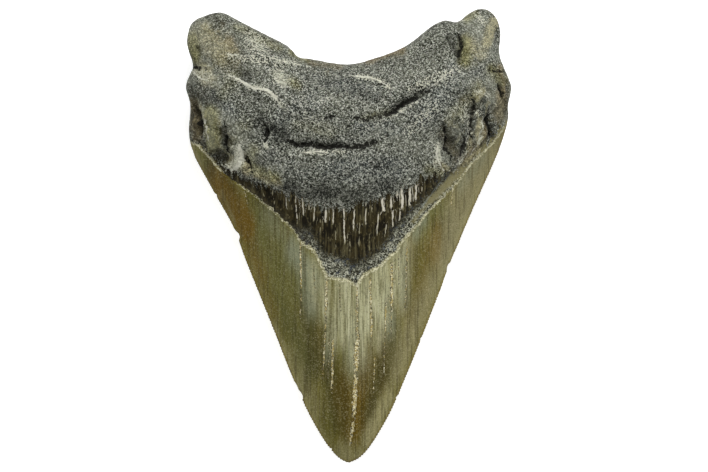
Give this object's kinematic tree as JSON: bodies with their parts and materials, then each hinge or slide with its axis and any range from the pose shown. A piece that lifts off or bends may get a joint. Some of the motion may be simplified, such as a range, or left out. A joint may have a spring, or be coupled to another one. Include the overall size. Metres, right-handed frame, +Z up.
{
  "type": "fossil megalodon tooth",
  "caption": "Large triangular fossil shark tooth with a glossy serrated crown, a V-shaped dark band and a rough forked root, lying on its flatter face.",
  "frame": {"origin": "on the resting surface, under the middle of the tooth's bounding box", "axes": "+X across the tooth to the picture's right, +Y from the tip to the root, +Z up out of the bulging lingual face"},
  "size_m": [0.076, 0.1061, 0.0231],
  "materials": {
    "fossil_tooth": "mineralised enamel with a satin gloss, and matt pitted bone"
  },
  "bodies": {
    "root": {"megalodon_tooth": "fossil_tooth"}
  },
  "joints": []
}
